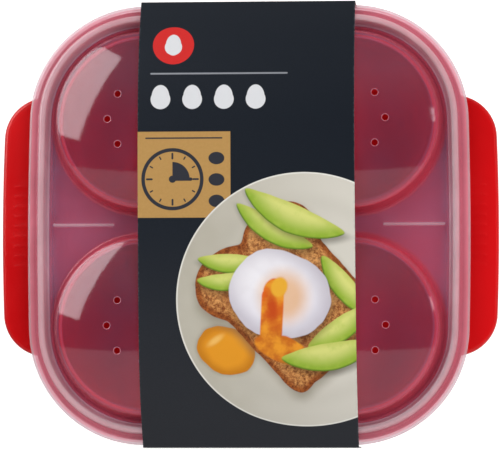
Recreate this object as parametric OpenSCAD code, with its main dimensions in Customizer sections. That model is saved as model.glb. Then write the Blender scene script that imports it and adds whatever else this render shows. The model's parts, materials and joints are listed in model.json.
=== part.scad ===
// Microwave egg poacher for four eggs: a red water base with two side handles, a lift-out tray
// with four egg cups, a frosted lid with a vented dome over each cup, and a card sleeve.
// The frame: X runs from handle to handle, Y from front to back, Z up, and the base stands on Z = 0.

/* [Outline] */
// Width and depth of the lid, measured at the middle of its sides
lid_width = 186; // [182:1:190]
// Radius of the lid's corners
corner_r = 49.4; // [47:0.2:51]
// Distance between the centres of neighbouring cups
cup_pitch = 86; // [85:0.5:87]

/* [Base] */
// Height of the base up to its rim
base_height = 36.2; // [34:0.2:40]
// Thickness of the base's wall
wall_t = 1.9; // [1.6:0.1:2.1]
// Thickness of the base's floor
floor_t = 1.8; // [1.4:0.1:2.2]
// Height of the foot ring under the floor
foot_h = 1; // [0.6:0.1:1.4]

/* [Handles] */
// Width of the object over both handles
handle_span = 210; // [205:1:214]
// Length of a handle along its side
handle_length = 110; // [96:1:112]
// Radius of a handle's outer corners
handle_r = 18; // [12:1:22]
// Depth of the handle's turned-down edge
handle_edge = 5.6; // [4:0.2:7]
// Thickness of a handle
handle_t = 2.4; // [2:0.1:3]

/* [Cup tray] */
// Radius of the bowl's mouth
cup_r = 34.7; // [33.5:0.1:34.9]
// Depth of a bowl
cup_depth = 31.8; // [29:0.2:32]
// Thickness of the tray
tray_t = 1.5; // [1.3:0.1:1.7]

/* [Lid] */
// Thickness of the lid
lid_t = 1.3; // [1.1:0.1:1.4]
// Height of the ridge that runs round the lid, above its flange
ridge_h = 7; // [5:0.5:8]
// Radius of a dome at its foot
dome_foot_r = 39.2; // [38.6:0.1:39.6]
// Radius of a dome at the edge of its cap
dome_edge_r = 36.5; // [35:0.1:37]
// Height of a dome's steep wall
dome_wall_h = 12; // [10:0.5:13]
// Rise of a dome's cap above its edge
dome_rise = 7.5; // [6:0.5:9]
// Radius of the circle that the steam holes lie on
vent_pitch_r = 15.1; // [12:0.1:18]
// Diameter of a steam hole
vent_d = 2.7; // [2:0.1:3.4]

/* [Card sleeve] */
// Width of the sleeve
sleeve_width = 90; // [80:1:100]
// Thickness of the card
card_t = 0.45; // [0.35:0.05:0.6]
// Depth of the flaps that hang over the front and the back of the lid
flap_h = 20; // [14:1:24]

/* [Hidden] */
$fn = 96;

moulded_red = [0.76, 0.03, 0.05];
frosted_clear = [0.86, 0.82, 0.84, 0.6];
dark_card = [0.15, 0.17, 0.22];

// The outline is a square with round corners, and core is how far out their centres lie.
half_w = lid_width / 2;
core = half_w - corner_r;
cup_at = cup_pitch / 2;

// Distances of the base's faces from the centre, at mid-side
rim_reach = half_w - 2;
lip_t = 0.9;
lip_drop = 1.4;
upper_wall = half_w - 4.6;
upper_inside = upper_wall - wall_t + 0.1;
shoulder_step = 3;
shoulder_rise = 1.1;
foot_reach = half_w - 13;
wall_lean = 4.8;
lower_wall = foot_reach + wall_lean;
ledge_outside = lower_wall + shoulder_step - wall_t + 0.2;
ledge_inside = lower_wall - 1.5;
foot_w = 3;
foot_inside = foot_reach - foot_w;
floor_outside = foot_reach - 1.4;
floor_lap = 1.5;

// Levels of the base, from the rim down
rim_t = 1.8;
ledge_z = base_height - 7.2;
shoulder_z = ledge_z - wall_t;
floor_z = foot_h + floor_t;

// Handles, below the shoulder that carries them
handle_top = ledge_z - 0.4;
handle_reach = handle_span / 2;
handle_root = lower_wall - 1.8;
handle_edge_t = 1.8;
overlap = 0.2;
rib_t = 1.6;
rib_y = 38;
rib_drop = 12;
rib_tip_h = 2;
rib_lean = 1.4;

// The tray rests on the ledge, and its raised cup rims stand up inside the domes
seat_gap = 0.2;
tray_reach = half_w - 8.4;
tray_lip_t = 1.6;
tray_lip_top = base_height - 1.6;
deck_t = 1.6;
deck_z = ledge_z + 0.9;
cup_rim_z = base_height + 4.8;
cup_bead = 0.9;
collar_foot_r = dome_foot_r - 0.9;
collar_top_r = dome_edge_r + 0.1;
bowl_r = (pow(cup_r, 2) + pow(cup_depth, 2)) / (2 * cup_depth);
bowl_z = cup_rim_z - cup_depth + bowl_r;
steam_hole_r = 7;
slot_l = 18;
slot_w = 5;
slot_y = 62;

// The lid
flange_z = base_height + 1.5;
flange_t = 1.2;
web_top = base_height + 0.5;
web_bottom = web_top - 1.4;
skirt_h = 4.3;
ridge_top = flange_z + ridge_h;
ridge_out = half_w - 4.2;
ridge_in = half_w - 8.1;
ridge_lean = 0.7;
ridge_bevel = 0.6;
dome_edge_z = web_top + dome_wall_h;
dome_top = dome_edge_z + dome_rise;
cap_r = (pow(dome_edge_r, 2) + pow(dome_rise, 2)) / (2 * dome_rise);
cap_z = dome_top - cap_r;
vents = 8;
bar_l = 25;
bar_r = 0.8;
bar_rise = 0.4;
bar_x = 69.5;

// The sleeve lies this far above the domes, and hangs this far out from the lid's edge
sleeve_gap = 0.3;
flap_gap = 0.9;
fold_z = flange_z + 4.3;
edge_angle = asin(dome_edge_r / cap_r);
bend_steps = 8;

// Sweeps a profile round the outline. Its X is the distance from the centre at mid-side.
module sweep_outline() {
    for (i = [0:3])
        rotate([0, 0, 90 * i]) {
            translate([core, core, 0])
                rotate_extrude(angle = 90)
                translate([-core, 0])
                children();
            translate([0, core, 0])
                rotate([90, 0, 0])
                linear_extrude(height = 2 * core)
                children();
        }
}

// A square with round corners that reaches this far from the centre
module rounded_square(reach) {
    square([2 * core, 2 * reach], center = true);
    square([2 * reach, 2 * core], center = true);
    for (x = [-core, core], y = [-core, core])
        translate([x, y])
            circle(r = reach - core);
}

module plate(reach, low, high) {
    translate([0, 0, low])
        linear_extrude(height = high - low)
        rounded_square(reach);
}

// The places of the cups and domes, seen from above
module at_cups() {
    for (x = [-cup_at, cup_at], y = [-cup_at, cup_at])
        translate([x, y])
            children();
}

// ---- base ----

module base_wall_profile() {
    polygon([
        [foot_reach, 0],
        [lower_wall, shoulder_z - shoulder_rise],
        [lower_wall + shoulder_step, shoulder_z],
        [upper_wall, base_height - rim_t],
        [rim_reach - lip_t, base_height - rim_t],
        [rim_reach - lip_t, base_height - rim_t - lip_drop],
        [rim_reach, base_height - rim_t - lip_drop],
        [rim_reach, base_height],
        [upper_inside, base_height],
        [ledge_outside, ledge_z],
        [ledge_inside, ledge_z],
        [floor_outside, floor_z],
        [foot_inside - floor_lap, floor_z],
        [foot_inside - floor_lap, foot_h],
        [foot_inside, foot_h],
        [foot_inside, 0]
    ]);
}

// A handle seen from above, shrunk by an inset along its free edges
module handle_outline(inset) {
    r = handle_r - inset;
    reach = handle_reach - inset;
    half_l = handle_length / 2 - inset;
    translate([half_w / 2, -half_l])
        square([reach - r - half_w / 2, 2 * half_l]);
    translate([reach - r, r - half_l])
        square([r, 2 * (half_l - r)]);
    for (y = [r - half_l, half_l - r])
        translate([reach - r, y])
            circle(r = r);
}

module handle_rib(y) {
    translate([0, y + rib_t / 2, 0])
        rotate([90, 0, 0])
        linear_extrude(height = rib_t)
        polygon([
            [handle_root - rib_lean, handle_top - handle_t - rib_drop],
            [handle_root + overlap, handle_top - handle_t + overlap],
            [handle_reach - handle_edge_t / 2, handle_top - handle_t + overlap],
            [handle_reach - handle_edge_t / 2, handle_top - handle_t - rib_tip_h]
        ]);
}

module handle() {
    translate([0, 0, handle_top - handle_t])
        linear_extrude(height = handle_t)
        difference() {
            handle_outline(0);
            rounded_square(handle_root);
        }
    translate([0, 0, handle_top - handle_edge])
        linear_extrude(height = handle_edge - handle_t / 2)
        difference() {
            handle_outline(0);
            handle_outline(handle_edge_t);
            rounded_square(handle_root);
        }
    for (y = [-rib_y, rib_y])
        handle_rib(y);
}

module base() {
    color(moulded_red)
        union() {
            sweep_outline() base_wall_profile();
            plate(foot_inside - floor_lap + overlap, foot_h, floor_z);
            handle();
            mirror([1, 0, 0]) handle();
        }
}

// ---- cup tray ----

module tray_edge_profile() {
    seat = ledge_z + seat_gap;
    inner = tray_reach - tray_lip_t;
    polygon([
        [tray_reach, seat],
        [tray_reach, tray_lip_top],
        [inner, tray_lip_top],
        [inner, deck_z + deck_t],
        [inner - 1, deck_z + deck_t],
        [inner - 1, deck_z],
        [inner + 0.6, deck_z],
        [inner + 0.6, seat]
    ]);
}

// A bowl that hangs from a rim, and the sloping collar that meets the deck
module cup_profile() {
    intersection() {
        translate([0, bowl_z])
            difference() {
                circle(r = bowl_r + tray_t);
                circle(r = bowl_r);
            }
        translate([0, bowl_z - 2 * bowl_r])
            square([2 * bowl_r, 2 * bowl_r - bowl_z + cup_rim_z - cup_bead]);
    }
    polygon([
        [collar_foot_r, deck_z],
        [collar_foot_r, deck_z + deck_t],
        [collar_top_r, cup_rim_z - cup_bead],
        [collar_top_r - tray_t, cup_rim_z - cup_bead],
        [collar_foot_r - tray_t, deck_z]
    ]);
    translate([collar_top_r - cup_bead, cup_rim_z - cup_bead])
        circle(r = cup_bead);
}

module steam_slot(y) {
    translate([0, y])
        square([slot_l - slot_w, slot_w], center = true);
    for (x = [slot_w - slot_l, slot_l - slot_w])
        translate([x / 2, y])
            circle(d = slot_w);
}

module tray_deck() {
    color(moulded_red)
        union() {
            sweep_outline() tray_edge_profile();
            translate([0, 0, deck_z])
                linear_extrude(height = deck_t)
                difference() {
                    rounded_square(tray_reach - tray_lip_t - 0.4);
                    at_cups() circle(r = collar_foot_r);
                    circle(r = steam_hole_r);
                    steam_slot(slot_y);
                    steam_slot(-slot_y);
                }
        }
}

// The cup on one side of the centre, with each side given as -1 or 1
module egg_cup(side_x, side_y) {
    color(moulded_red)
        translate([side_x * cup_at, side_y * cup_at, 0])
        rotate_extrude()
        cup_profile();
}

module egg_cup_front_left() {
    egg_cup(-1, -1);
}

module egg_cup_front_right() {
    egg_cup(1, -1);
}

module egg_cup_back_left() {
    egg_cup(-1, 1);
}

module egg_cup_back_right() {
    egg_cup(1, 1);
}

// ---- lid ----

module lid_rim_profile() {
    polygon([
        [half_w, flange_z - skirt_h],
        [half_w, flange_z - ridge_bevel],
        [half_w - ridge_bevel, flange_z],
        [ridge_out, flange_z],
        [ridge_out - ridge_lean, ridge_top - ridge_bevel],
        [ridge_out - ridge_lean - ridge_bevel, ridge_top],
        [ridge_in + ridge_lean + ridge_bevel, ridge_top],
        [ridge_in + ridge_lean, ridge_top - ridge_bevel],
        [ridge_in, web_top],
        [ridge_in - 1.4, web_top],
        [ridge_in - 1.4, web_bottom],
        [ridge_in + 1.2, web_bottom],
        [ridge_in + 1.9, ridge_top - lid_t],
        [ridge_out - 1.8, ridge_top - lid_t],
        [ridge_out - 1.2, flange_z - flange_t],
        [half_w - flange_t, flange_z - flange_t],
        [half_w - flange_t, flange_z - skirt_h]
    ]);
}

module dome_profile() {
    polygon([
        [dome_foot_r - lid_t, web_bottom],
        [dome_foot_r, web_bottom],
        [dome_foot_r, web_top],
        [dome_edge_r, dome_edge_z],
        [dome_edge_r - lid_t, dome_edge_z - 0.6]
    ]);
    intersection() {
        translate([0, cap_z])
            difference() {
                circle(r = cap_r);
                circle(r = cap_r - lid_t);
            }
        translate([0, dome_edge_z - 2 * lid_t])
            square([dome_edge_r, dome_rise + 3 * lid_t]);
    }
}

// A low moulded bar that lies on the web between the front and back domes
module web_bar(x) {
    translate([x - bar_l / 2, 0, web_top - bar_r + bar_rise])
        rotate([0, 90, 0])
        cylinder(h = bar_l, r = bar_r);
}

module lid_frame() {
    color(frosted_clear)
        union() {
            sweep_outline() lid_rim_profile();
            web_bar(-bar_x);
            web_bar(bar_x);
            translate([0, 0, web_bottom])
                linear_extrude(height = web_top - web_bottom)
                difference() {
                    rounded_square(ridge_in - 0.7);
                    at_cups() circle(r = dome_foot_r);
                }
        }
}

// The dome on one side of the centre, with each side given as -1 or 1
module dome(side_x, side_y) {
    color(frosted_clear)
        translate([side_x * cup_at, side_y * cup_at, 0])
        difference() {
            rotate_extrude()
                dome_profile();
            for (i = [0:vents - 1])
                rotate([0, 0, 360 / vents * i])
                    translate([vent_pitch_r, 0, dome_edge_z])
                    cylinder(h = 2 * dome_rise, d = vent_d);
        }
}

module dome_front_left() {
    dome(-1, -1);
}

module dome_front_right() {
    dome(1, -1);
}

module dome_back_left() {
    dome(-1, 1);
}

module dome_back_right() {
    dome(1, 1);
}

// ---- card sleeve ----

// Half of the card's line seen from the side, grown outwards by a distance: over a dome, then down
function half_line(grow) = concat(
    [for (i = [0:bend_steps])
        let (turn = edge_angle * i / bend_steps, r = cap_r + sleeve_gap + grow)
        [cup_at + r * sin(turn), cap_z + r * cos(turn)]],
    [
        [half_w + flap_gap + grow, fold_z + grow / 2],
        [half_w + flap_gap + grow, fold_z - flap_h]
    ]
);

function reversed(line) = [for (i = [len(line) - 1:-1:0]) line[i]];

function mirrored(line) = [for (p = line) [-p[0], p[1]]];

function whole_line(grow) = concat(reversed(mirrored(half_line(grow))), half_line(grow));

module card_sleeve() {
    color(dark_card)
        rotate([90, 0, 90])
        linear_extrude(height = sleeve_width, center = true)
        polygon(concat(whole_line(card_t), reversed(whole_line(0))));
}

base();
tray_deck();
egg_cup_front_left();
egg_cup_front_right();
egg_cup_back_left();
egg_cup_back_right();
lid_frame();
dome_front_left();
dome_front_right();
dome_back_left();
dome_back_right();
card_sleeve();
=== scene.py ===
"""Microwave egg poacher: a red water base with two side handles, a lift-out tray with four egg
cups, a frosted lid with a vented dome over each cup, and a printed card sleeve over the middle.

Every piece is built in millimetres in the CAD's frame and turned into metres when its mesh is made.
"""

import functools
import json
import math

import bmesh
import bpy
from mathutils import Matrix, Vector
from mathutils.geometry import delaunay_2d_cdt


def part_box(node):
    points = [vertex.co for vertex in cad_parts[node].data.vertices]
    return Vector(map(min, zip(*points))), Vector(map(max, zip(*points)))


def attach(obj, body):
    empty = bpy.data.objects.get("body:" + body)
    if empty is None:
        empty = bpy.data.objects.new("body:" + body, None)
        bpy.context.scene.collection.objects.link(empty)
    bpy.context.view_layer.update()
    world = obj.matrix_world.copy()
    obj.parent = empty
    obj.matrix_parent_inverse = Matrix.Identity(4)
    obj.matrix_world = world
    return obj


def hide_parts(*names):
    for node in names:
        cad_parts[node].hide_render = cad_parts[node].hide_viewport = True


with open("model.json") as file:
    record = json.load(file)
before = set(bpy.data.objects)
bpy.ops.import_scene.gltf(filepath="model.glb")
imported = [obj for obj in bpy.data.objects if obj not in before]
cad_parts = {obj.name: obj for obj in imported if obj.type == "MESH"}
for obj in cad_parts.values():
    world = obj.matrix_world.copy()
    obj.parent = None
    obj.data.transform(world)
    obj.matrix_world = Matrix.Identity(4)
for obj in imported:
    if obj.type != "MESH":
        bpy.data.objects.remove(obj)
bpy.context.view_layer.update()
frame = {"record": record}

MM = 0.001


# ---- sizes, in millimetres ----

body_nodes = frame["record"]["behaviour"]["bodies"]


def box_mm(body):
    """The low and the high corner of the box round all of a body's CAD nodes."""
    boxes = [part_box(node) for node in body_nodes[body]]
    return [Vector(pick(box[end][i] for box in boxes) for i in range(3)) / MM
            for end, pick in ((0, min), (1, max))]


_, base_high = box_mm("base")
_, tray_high = box_mm("cup_tray")
lid_low, lid_high = box_mm("lid")
sleeve_low, sleeve_high = box_mm("card_sleeve")

HALF = lid_high.x                  # from the centre to the lid's edge, at mid-side
RIM_TOP = base_high.z              # top of the base's rim
CUP_RIM_TOP = tray_high.z          # top of the cups' raised rims
CORNER_AT = 43.2                   # centres of the outline's corners, along X and Y
BOW = 0.6                          # how far the sides bulge between the corners
CUP_AT = 43.0                      # axes of the cups and the domes, along X and Y
CUP_AXES = [(x, y) for x in (-CUP_AT, CUP_AT) for y in (-CUP_AT, CUP_AT)]

CORNER_STEPS = 30
SIDE_STEPS = 12
TURN_STEPS = 120
END_STEPS = 8                      # round the end of a slot or a bar
ARC_STEP = math.radians(16)        # the most that one step of a rounded edge turns
NEAR = 0.002                       # places within this of an edge count as on it
FLAT_OF = math.cos(math.pi / TURN_STEPS)    # how near a turned circle's flats come to its middle

# Base
LEDGE_Z = RIM_TOP - 7.2
SHOULDER_Z = LEDGE_Z - 1.9
FLOOR_Z = 2.8
FOOT_H = 1.0
FOOT_REACH = HALF - 13
WALL_REACH = FOOT_REACH + 4.8
RIM_REACH = base_high.y
HANDLE_TOP = LEDGE_Z - 0.4
HANDLE_T = 2.4
HANDLE_REACH = base_high.x
HANDLE_HALF = 55.0
HANDLE_R = 18.0
HANDLE_ROOT = HALF - 9.0
HANDLE_BOW = 0.7
EDGE_DEPTH = 5.6
EDGE_T = 1.8
RIB_Y = 38.0
RIB_T = 1.6
RIB_IN = 1.6                       # how far its lower corners lie in from root and edge
RIB_TUCK = 0.4                     # how far it reaches into the tab and the wall
RIB_DROP = 12.6
RIB_TIP = 2.6
ROOT_STEPS, TAB_STEPS, TAB_CORNER_STEPS, EDGE_STEPS = 24, 4, 14, 12
GRIP_BARS = 9
GRIP_PITCH = 4.2
GRIP_L = 7.0
GRIP_X = 95.6
GRIP_HALF_W = 0.95
GRIP_RISE = 0.1

# Cup tray
SEAT_Z = LEDGE_Z + 0.2
TRAY_REACH = tray_high.x
TRAY_LIP_TOP = RIM_TOP - 1.6
DECK_Z = LEDGE_Z + 0.9
DECK_TOP = DECK_Z + 1.6
TRAY_T = 1.5
COLLAR_FOOT_R = 38.3
COLLAR_TOP_R = 36.6
COLLAR_LEAD = 0.4                  # flat deck round a collar's foot
BEAD_R = 0.9
CUP_R = 34.7
CUP_DEPTH = 31.8
BOWL_R = (CUP_R ** 2 + CUP_DEPTH ** 2) / (2 * CUP_DEPTH)
BOWL_Z = CUP_RIM_TOP - CUP_DEPTH + BOWL_R
STEAM_R = 7.0
SLOT_Y = 62.0
SLOT_L = 17.2
SLOT_W = 5.0
SLOT_HALF = (SLOT_L - SLOT_W) / 2
OPENING_CHAMFER = 0.25
OPENING_EDGE = 0.19                # how far outside an opening a triangle still belongs to it

# Lid
LID_T = 1.3
SKIRT_Z = lid_low.z
FLANGE_Z = RIM_TOP + 1.5
FLANGE_T = 1.2
WEB_TOP = RIM_TOP + 0.5
WEB_BOTTOM = WEB_TOP - 1.4
RIDGE_TOP = FLANGE_Z + 7
RIDGE_OUT = HALF - 4.2
RIDGE_IN = HALF - 8.1
RIDGE_LEAN = 0.7
DOME_FOOT_R = 39.2
DOME_LEAD = 1.0                    # flat web round a dome's foot, on top
DOME_LEAD_INSIDE = 0.7             # and underneath
DOME_EDGE_R = 37.0
DOME_EDGE_Z = WEB_TOP + 12
DOME_TOP = lid_high.z
DOME_RISE = DOME_TOP - DOME_EDGE_Z
CAP_R = (DOME_EDGE_R ** 2 + DOME_RISE ** 2) / (2 * DOME_RISE)
CAP_Z = DOME_TOP - CAP_R
PATCH_R = 22.0
VENTS = 8
VENT_PITCH_R = 14.8
VENT_R = 1.35
VENT_STEPS = 20
CAP_RINGS = ((19.4, 64), (17.4, 48), (12.8, 36), (10.4, 30), (7.6, 22), (4.8, 14), (2.0, 6))
BAR_X = (57.0, 82.0)
BAR_HALF_W = 1.0
BAR_RISE = 0.4

# How milky each face of the lid is, from 0, clear, to 1, opaque, and the colour its haze picks up:
# the blue-white of the web and the domes is the plastic's own, the red and pink tints are painted
# light
CLEAR = (0.0, (1.0, 1.0, 1.0))
WEB = (0.12, (0.50, 0.48, 0.84))
# painted light: the web turns milkier and paler at its rim, a painted lightening over the shaded
# groove of the tray below
WEB_RIM_PAINTED_LIGHT = (0.28, (0.62, 0.46, 0.70))
# painted highlight: the moulded bars on the web get a pale, milkier look that stands in for the
# light streak along them
BAR_HIGHLIGHT = (0.42, (0.90, 0.74, 0.82))
DOME = (0.03, (0.50, 0.48, 0.95))
# painted light: the dome walls' red tint stands in for red light from the tray below, scattered
# through the frosted walls
WALL_RED_GLOW = (0.30, (0.86, 0.12, 0.20))
# partly painted light: the ridge is milky where its plastic is thick, and its pale pink is partly a
# painted highlight and a painted red glow
RIDGE = (0.44, (0.97, 0.74, 0.80))
# painted light: the ridge's inner wall is milkier and pale pink, a painted lightening of the shade
# it lies in
RIDGE_INSIDE_PAINTED_LIGHT = (0.50, (1.0, 0.66, 0.76))
# painted light: the red tints of the ridge's foot and the flange stand in for the glow of the
# base's red rim beneath them
RIDGE_FOOT_RED_GLOW = (0.25, (0.78, 0.22, 0.33))
FLANGE_RED_GLOW = (0.55, (1.0, 0.38, 0.47))
# partly painted light: the skirt's milkiness is its own, its pink a painted glow from the red
# handles and rim under it
SKIRT = (0.48, (0.86, 0.58, 0.64))
# painted light: the pink tint of the steam holes' edges is a painted glow from the red cups below
VENT_PINK_GLOW = (0.36, (1.0, 0.36, 0.44))

# A steam hole's edge, from a dome's outer face to its inner one: how much wider than the hole,
# how far inside the outer face, how far below that, and its look
# the pink looks on the hole's edge are a painted glow
VENT_EDGE = ((0.36, 0, 0, DOME), (0.26, 0, 0.02, VENT_PINK_GLOW), (0.12, 0, 0.05, VENT_PINK_GLOW),
             (0.03, 0, 0.12, VENT_PINK_GLOW), (0, 0, 0.28, VENT_PINK_GLOW), (0, LID_T, -0.2, VENT_PINK_GLOW),
             (0.25, LID_T, 0, DOME))

# Card sleeve
CARD_T = 0.45
SLEEVE_GAP = 0.3
FOLD_Z = FLANGE_Z + 4.3
FOLD_R = 1.0
CARD_TUCK = 0.8                    # how much further in the flaps hang than the CAD's
CARD_HANG = sleeve_high.y - CARD_T / 2 - CARD_TUCK
CARD_COLUMNS = 12
CARD_ASKEW = (0.25, -0.0062, 0.000055)    # its shift along X: at the middle, per mm, per mm squared
CREST_STEPS, BEND_STEPS, FLAP_STEPS = 6, 14, 6

# Where the camera and the lights look, in metres
AIM = (0.0006, 0.0, 0.036)
CAMERA_LEAN = (math.radians(3.5), math.radians(4.0))


# ---- mesh helpers ----

def rounded(corners):
    """A line through corners (x, y, radius, tag), with an arc at each inner corner with a radius.
    Gives points (x, y, tag)."""
    line = []
    for i, (x, y, radius, tag) in enumerate(corners):
        if radius == 0 or i in (0, len(corners) - 1):
            line.append((x, y, tag))
            continue
        corner = Vector((x, y))
        to_last = Vector(corners[i - 1][:2]) - corner
        to_next = Vector(corners[i + 1][:2]) - corner
        room = min(side.length * (0.49 if near[2] else 0.98)
                   for side, near in ((to_last, corners[i - 1]), (to_next, corners[i + 1])))
        to_last.normalize()
        to_next.normalize()
        half = to_last.angle(to_next) / 2
        cut = min(radius / math.tan(half), room)
        bend = math.pi - 2 * half
        middle = corner + (to_last + to_next).normalized() * (cut / math.cos(half))
        start = corner + to_last * cut - middle
        side = corner + to_next * cut - middle
        steps = max(2, round(bend / ARC_STEP))
        for k in range(steps + 1):
            point = start.slerp(side, k / steps).normalized() * start.length
            line.append((middle.x + point.x, middle.y + point.y, tag))
    return line


def outline(reach):
    """The rounded square with bowed sides whose sides lie this far out, as points (x, y)."""
    d = reach - CORNER_AT
    corner_r = d - BOW
    side_r = d - BOW / 2 + CORNER_AT ** 2 / (2 * BOW)
    lean = math.atan2(CORNER_AT, side_r - d)
    points = []
    for quarter in range(4):
        turn = quarter * math.pi / 2
        c, s = math.cos(turn), math.sin(turn)
        local = []
        for i in range(SIDE_STEPS):
            a = lean * (2 * i / SIDE_STEPS - 1)
            local.append((reach - side_r + side_r * math.cos(a), side_r * math.sin(a)))
        for i in range(CORNER_STEPS):
            a = lean + (math.pi / 2 - 2 * lean) * i / CORNER_STEPS
            local.append((CORNER_AT + corner_r * math.cos(a), CORNER_AT + corner_r * math.sin(a)))
        points += [(c * x - s * y, s * x + c * y) for x, y in local]
    return points


def outline_x(reach, y):
    """How far out along X the outline lies at this Y."""
    d = reach - CORNER_AT
    corner_r = d - BOW
    if abs(y) > CORNER_AT:
        return CORNER_AT + math.sqrt(corner_r ** 2 - (abs(y) - CORNER_AT) ** 2)
    return reach - BOW * (y / CORNER_AT) ** 2


def circle(axis, radius, steps=TURN_STEPS):
    return [(axis[0] + radius * math.cos(2 * math.pi * i / steps),
             axis[1] + radius * math.sin(2 * math.pi * i / steps)) for i in range(steps)]


def off_segment(x, y, start, end):
    """Distance of a point from the straight stretch between start and end."""
    along = Vector(end) - Vector(start)
    share = (Vector((x, y)) - Vector(start)).dot(along) / along.length_squared
    nearest = Vector(start) + along * min(1, max(0, share))
    return (Vector((x, y)) - nearest).length


def bump_rise(distance, half_width, rise):
    """Height of a low moulded bar at this distance from its middle line."""
    if distance >= half_width:
        return 0
    return rise * (1 - (distance / half_width) ** 2) ** 2


def stadium(start, end, radius):
    """Points at this distance round a straight stretch."""
    along = Vector(end) - Vector(start)
    heading = math.atan2(along.y, along.x)
    points = []
    pieces = max(2, round(along.length / 1.6))
    for centre, other, turn in ((start, end, heading + math.pi), (end, start, heading)):
        for i in range(END_STEPS + 1):
            a = turn - math.pi / 2 + math.pi * i / END_STEPS
            points.append((centre[0] + radius * math.cos(a), centre[1] + radius * math.sin(a)))
        last = Vector(points[-1])
        step = (Vector(other) - Vector(centre)) / pieces
        points += [tuple(last + step * i) for i in range(1, pieces)]
    return points


def bar_points(bars, half_width, shares, steps):
    """Points on and round moulded bars, close enough for a mesh to follow their rise."""
    points = []
    for start, end in bars:
        for share in shares:
            points += stadium(start, end, half_width * share)
        points += [tuple(Vector(start).lerp(Vector(end), i / steps)) for i in range(steps + 1)]
    return points


def mesh_from(bm, name, scale=1.0):
    """The finished faces as a mesh, with their normals outwards."""
    bmesh.ops.recalc_face_normals(bm, faces=bm.faces)
    bmesh.ops.scale(bm, vec=(scale, scale, scale), verts=bm.verts)
    made = bpy.data.meshes.new(name)
    bm.to_mesh(made)
    bm.free()
    return made


class Mesher:
    """Collects the faces of one mesh, in millimetres."""

    def __init__(self):
        self.bm = bmesh.new()
        self.milk = self.bm.verts.layers.float.new("milk")
        self.tint = self.bm.verts.layers.float_vector.new("tint")

    def loop(self, points, height, look=CLEAR):
        made = []
        for x, y in points:
            vert = self.bm.verts.new((x, y, height(x, y) if callable(height) else height))
            vert[self.milk], vert[self.tint] = look(x, y) if callable(look) else look
            made.append(vert)
        return made

    def bridge(self, loops):
        """Joins loops one after the other. Gives the first and the last."""
        for first, second in zip(loops, loops[1:]):
            for i, vert in enumerate(first):
                j = (i + 1) % len(first)
                self.bm.faces.new((vert, first[j], second[j], second[i]))
        return loops[0], loops[-1]

    def sweep(self, profile):
        """Takes a profile of (reach, z, look) round the outline. Gives its first and last loops."""
        return self.bridge([self.loop(outline(h), z, look or CLEAR) for h, z, look in profile])

    def turn(self, axis, profile):
        """Turns a profile of (radius, z, look) about an upright axis. Gives its end loops."""
        return self.bridge([self.loop(circle(axis, r), z, look or CLEAR) for r, z, look in profile])

    def fill(self, loops, spread, height, inside, look=CLEAR):
        """Fills the area between loops with triangles, through the extra points in spread."""
        verts = [vert for loop in loops for vert in loop]
        coords = [vert.co.xy for vert in verts] + [Vector(point) for point in spread]
        edges = []
        start = 0
        for loop in loops:
            edges += [(start + i, start + (i + 1) % len(loop)) for i in range(len(loop))]
            start += len(loop)
        places, _, faces, origins, _, _ = delaunay_2d_cdt(coords, edges, [], 0, 1e-5)
        corners = []
        for place, origin in zip(places, origins):
            known = [i for i in origin if i < len(verts)]
            if known:
                corners.append(verts[known[0]])
            else:
                corners.append(self.loop([place], height, look)[0])
        for face in faces:
            middle = sum((places[i] for i in face), Vector((0, 0))) / len(face)
            if inside(middle.x, middle.y):
                self.bm.faces.new([corners[i] for i in face])
        for vert in [v for v in self.bm.verts if not v.link_faces and v not in set(verts)]:
            self.bm.verts.remove(vert)

    def cap(self, loop, height, look=CLEAR):
        """Closes a small loop with a fan to its middle."""
        centre = sum((vert.co for vert in loop), Vector()) / len(loop)
        middle = self.loop([(centre.x, centre.y)], height, look)[0]
        for i, vert in enumerate(loop):
            self.bm.faces.new((vert, loop[(i + 1) % len(loop)], middle))

    def mesh(self, name):
        """The finished mesh, smooth shaded, in metres."""
        made = mesh_from(self.bm, name, MM)
        made.shade_smooth()
        return made


def new_object(name, mesh):
    made = bpy.data.objects.new(name, mesh)
    bpy.context.scene.collection.objects.link(made)
    return made


def joined(first, others, name):
    """The union of closed meshes as one new mesh."""
    whole = new_object(name, first)
    helpers = [new_object(f"{name}_part", mesh) for mesh in others]
    for helper in helpers:
        union = whole.modifiers.new("union", "BOOLEAN")
        union.operation = "UNION"
        union.solver = "EXACT"
        union.object = helper
    graph = bpy.context.evaluated_depsgraph_get()
    made = bpy.data.meshes.new_from_object(whole.evaluated_get(graph))
    for helper in helpers + [whole]:
        bpy.data.objects.remove(helper)
    return made


def finish_piece(name, mesh, body, materials, sharp_deg=None):
    """Makes the object that stands for a body's CAD nodes, with its materials."""
    if sharp_deg is not None:
        mesh.shade_smooth()
        mesh.set_sharp_from_angle(angle=math.radians(sharp_deg))
    piece = new_object(name, mesh)
    for material in materials:
        mesh.materials.append(material)
    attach(piece, body)
    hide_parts(*body_nodes[body])


# ---- material helpers ----

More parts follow.
